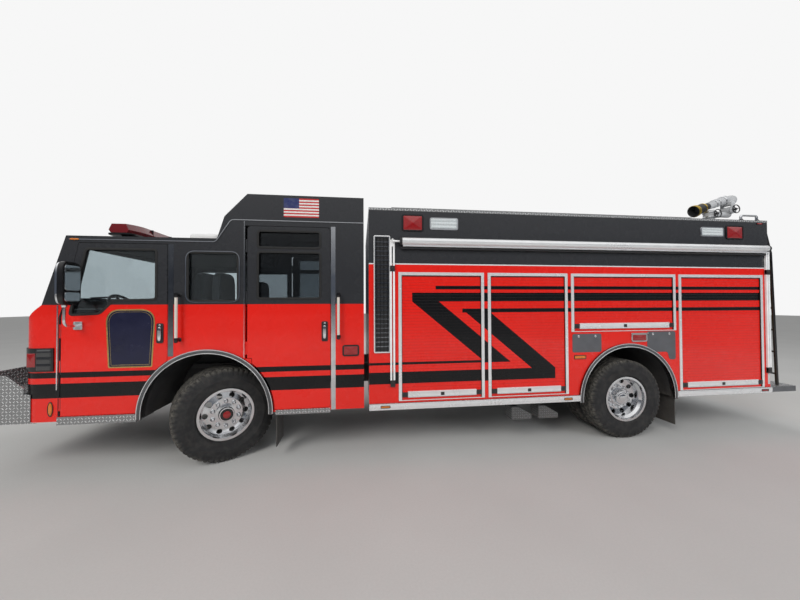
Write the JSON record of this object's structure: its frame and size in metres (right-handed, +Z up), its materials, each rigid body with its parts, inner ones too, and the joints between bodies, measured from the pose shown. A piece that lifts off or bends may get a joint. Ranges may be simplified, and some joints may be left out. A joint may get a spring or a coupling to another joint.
{
  "type": "fire engine",
  "caption": "Custom-cab rescue pumper with opening cab doors, steered front wheels, dual rear wheels, roll-up side compartments, hose bed covers and a swivelling roof monitor",
  "frame": {"origin": "middle of the whole outline's bounding box in plan, on the ground", "axes": "the engine faces -X, its driver's side (left) is -Y, +Z is up"},
  "size_m": [10.285, 3, 3.5096],
  "materials": {
    "red_paint": "gloss",
    "treadplate": "polished",
    "window_glass": "gloss",
    "satin_aluminium": "satin",
    "bright_chrome": "polished",
    "polished_steel": "polished",
    "polished_aluminium": "polished",
    "tyre_rubber": "matte",
    "chassis_black": "satin",
    "cast_metal": "matte",
    "black_plastic": "matte",
    "safety_yellow": "satin",
    "grey_lining": "matte",
    "seat_fabric": "matte",
    "red_lens": "gloss",
    "monitor_grey": "satin",
    "black_paint": "satin"
  },
  "bodies": {
    "chassis": {"cab_shell": "red_paint", "body_sides": "red_paint", "roof_deck": "treadplate", "steps_and_rails": "treadplate", "cab_glass": "window_glass", "shutters": "satin_aluminium", "shutter_frames": "satin_aluminium", "body_walls": "satin_aluminium", "awning": "satin_aluminium", "front_bumper": "treadplate", "grille": "bright_chrome", "headlamps": "bright_chrome", "arch_trims": "polished_steel", "grab_rails": "polished_steel", "front_axle": "chassis_black", "rear_axle": "chassis_black", "frame": "chassis_black", "engine_block": "cast_metal", "tanks_and_pump": "chassis_black", "wheel_arches": "black_plastic", "louvres": "black_plastic", "wheel_chocks": "safety_yellow", "tow_eyes": "chassis_black", "cab_floor": "grey_lining", "dashboard": "grey_lining", "crew_seats": "seat_fabric", "warning_lamps": "red_lens", "light_bar": "red_lens", "monitor_base": "monitor_grey", "rear_ladder": "black_paint"},
    "front_wheel_left_body": {"front_wheel_left": "polished_aluminium", "front_tyre_left": "tyre_rubber"},
    "front_wheel_right_body": {"front_wheel_right": "polished_aluminium", "front_tyre_right": "tyre_rubber"},
    "rear_wheels_left_body": {"rear_wheels_left": "polished_aluminium", "rear_tyres_left": "tyre_rubber"},
    "rear_wheels_right_body": {"rear_wheels_right": "polished_aluminium", "rear_tyres_right": "tyre_rubber"},
    "knuckle_left_body": {"knuckle_left": "chassis_black"},
    "knuckle_right_body": {"knuckle_right": "chassis_black"},
    "tie_rod_body": {"tie_rod": "chassis_black"},
    "front_door_left_body": {"front_door_left": "red_paint", "front_door_glass_left": "window_glass", "mirror_left": "black_plastic"},
    "front_door_right_body": {"front_door_right": "red_paint", "front_door_glass_right": "window_glass", "mirror_right": "black_plastic"},
    "rear_door_left_body": {"rear_door_left": "red_paint", "rear_door_glass_left": "window_glass"},
    "rear_door_right_body": {"rear_door_right": "red_paint", "rear_door_glass_right": "window_glass"},
    "bed_cover_left_body": {"bed_cover_left": "treadplate"},
    "bed_cover_right_body": {"bed_cover_right": "treadplate"},
    "monitor_swivel_body": {"monitor_swivel": "monitor_grey"},
    "monitor_barrel_body": {"monitor_barrel": "monitor_grey"}
  },
  "joints": [
    {"name": "steer_left", "type": "hinge", "parent": "chassis", "child": "knuckle_left_body", "pos_m": [-2.8025, -0.85, 0.54], "axis": [0, 0, 1], "range_deg": [-70, 10]},
    {"name": "steer_right", "type": "hinge", "parent": "chassis", "child": "knuckle_right_body", "pos_m": [-2.8025, 0.85, 0.54], "axis": [0, 0, 1], "range_deg": [-70, 10]},
    {"name": "tie_rod_swing", "type": "hinge", "parent": "knuckle_left_body", "child": "tie_rod_body", "pos_m": [-2.62929, -0.75, 0.484], "axis": [0, 0, 1], "range_deg": [-10, 70]},
    {"name": "front_wheel_left_spin", "type": "hinge", "parent": "knuckle_left_body", "child": "front_wheel_left_body", "pos_m": [-2.8025, -0.85, 0.54], "axis": [0.5, -0.866, 0], "continuous": true},
    {"name": "front_wheel_right_spin", "type": "hinge", "parent": "knuckle_right_body", "child": "front_wheel_right_body", "pos_m": [-2.8025, 0.85, 0.54], "axis": [0.5, -0.866, 0], "continuous": true},
    {"name": "rear_wheels_left_spin", "type": "hinge", "parent": "chassis", "child": "rear_wheels_left_body", "pos_m": [2.4775, 0, 0.525], "axis": [0, 1, 0], "continuous": true},
    {"name": "rear_wheels_right_spin", "type": "hinge", "parent": "chassis", "child": "rear_wheels_right_body", "pos_m": [2.4775, 0, 0.525], "axis": [0, 1, 0], "continuous": true},
    {"name": "front_door_left_hinge", "type": "hinge", "parent": "chassis", "child": "front_door_left_body", "pos_m": [-4.2855, -1.238, 1.15], "axis": [0, 0, -1], "range_deg": [0, 75]},
    {"name": "front_door_right_hinge", "type": "hinge", "parent": "chassis", "child": "front_door_right_body", "pos_m": [-4.2855, 1.238, 1.15], "axis": [0, 0, 1], "range_deg": [0, 75]},
    {"name": "rear_door_left_hinge", "type": "hinge", "parent": "chassis", "child": "rear_door_left_body", "pos_m": [-2.3835, -1.238, 1.9], "axis": [0, 0, -1], "range_deg": [0, 75]},
    {"name": "rear_door_right_hinge", "type": "hinge", "parent": "chassis", "child": "rear_door_right_body", "pos_m": [-2.3835, 1.238, 1.9], "axis": [0, 0, 1], "range_deg": [0, 75]},
    {"name": "bed_cover_left_hinge", "type": "hinge", "parent": "chassis", "child": "bed_cover_left_body", "pos_m": [1.4425, -1.188, 3.01], "axis": [1, 0, 0], "range_deg": [0, 95]},
    {"name": "bed_cover_right_hinge", "type": "hinge", "parent": "chassis", "child": "bed_cover_right_body", "pos_m": [1.4425, 1.188, 3.01], "axis": [-1, 0, 0], "range_deg": [0, 95]},
    {"name": "monitor_pan", "type": "hinge", "parent": "chassis", "child": "monitor_swivel_body", "pos_m": [4.2775, -0.85, 3.1206], "axis": [0, 0, 1], "range_deg": [-170, 170]},
    {"name": "monitor_elevate", "type": "hinge", "parent": "monitor_swivel_body", "child": "monitor_barrel_body", "pos_m": [4.5975, -0.85, 3.2466], "axis": [0, 1, 0], "range_deg": [0, 80]}
  ],
  "couplings": [
    {"joint": "steer_right", "follows": "steer_left", "ratio": 1},
    {"joint": "tie_rod_swing", "follows": "steer_left", "ratio": -1}
  ]
}
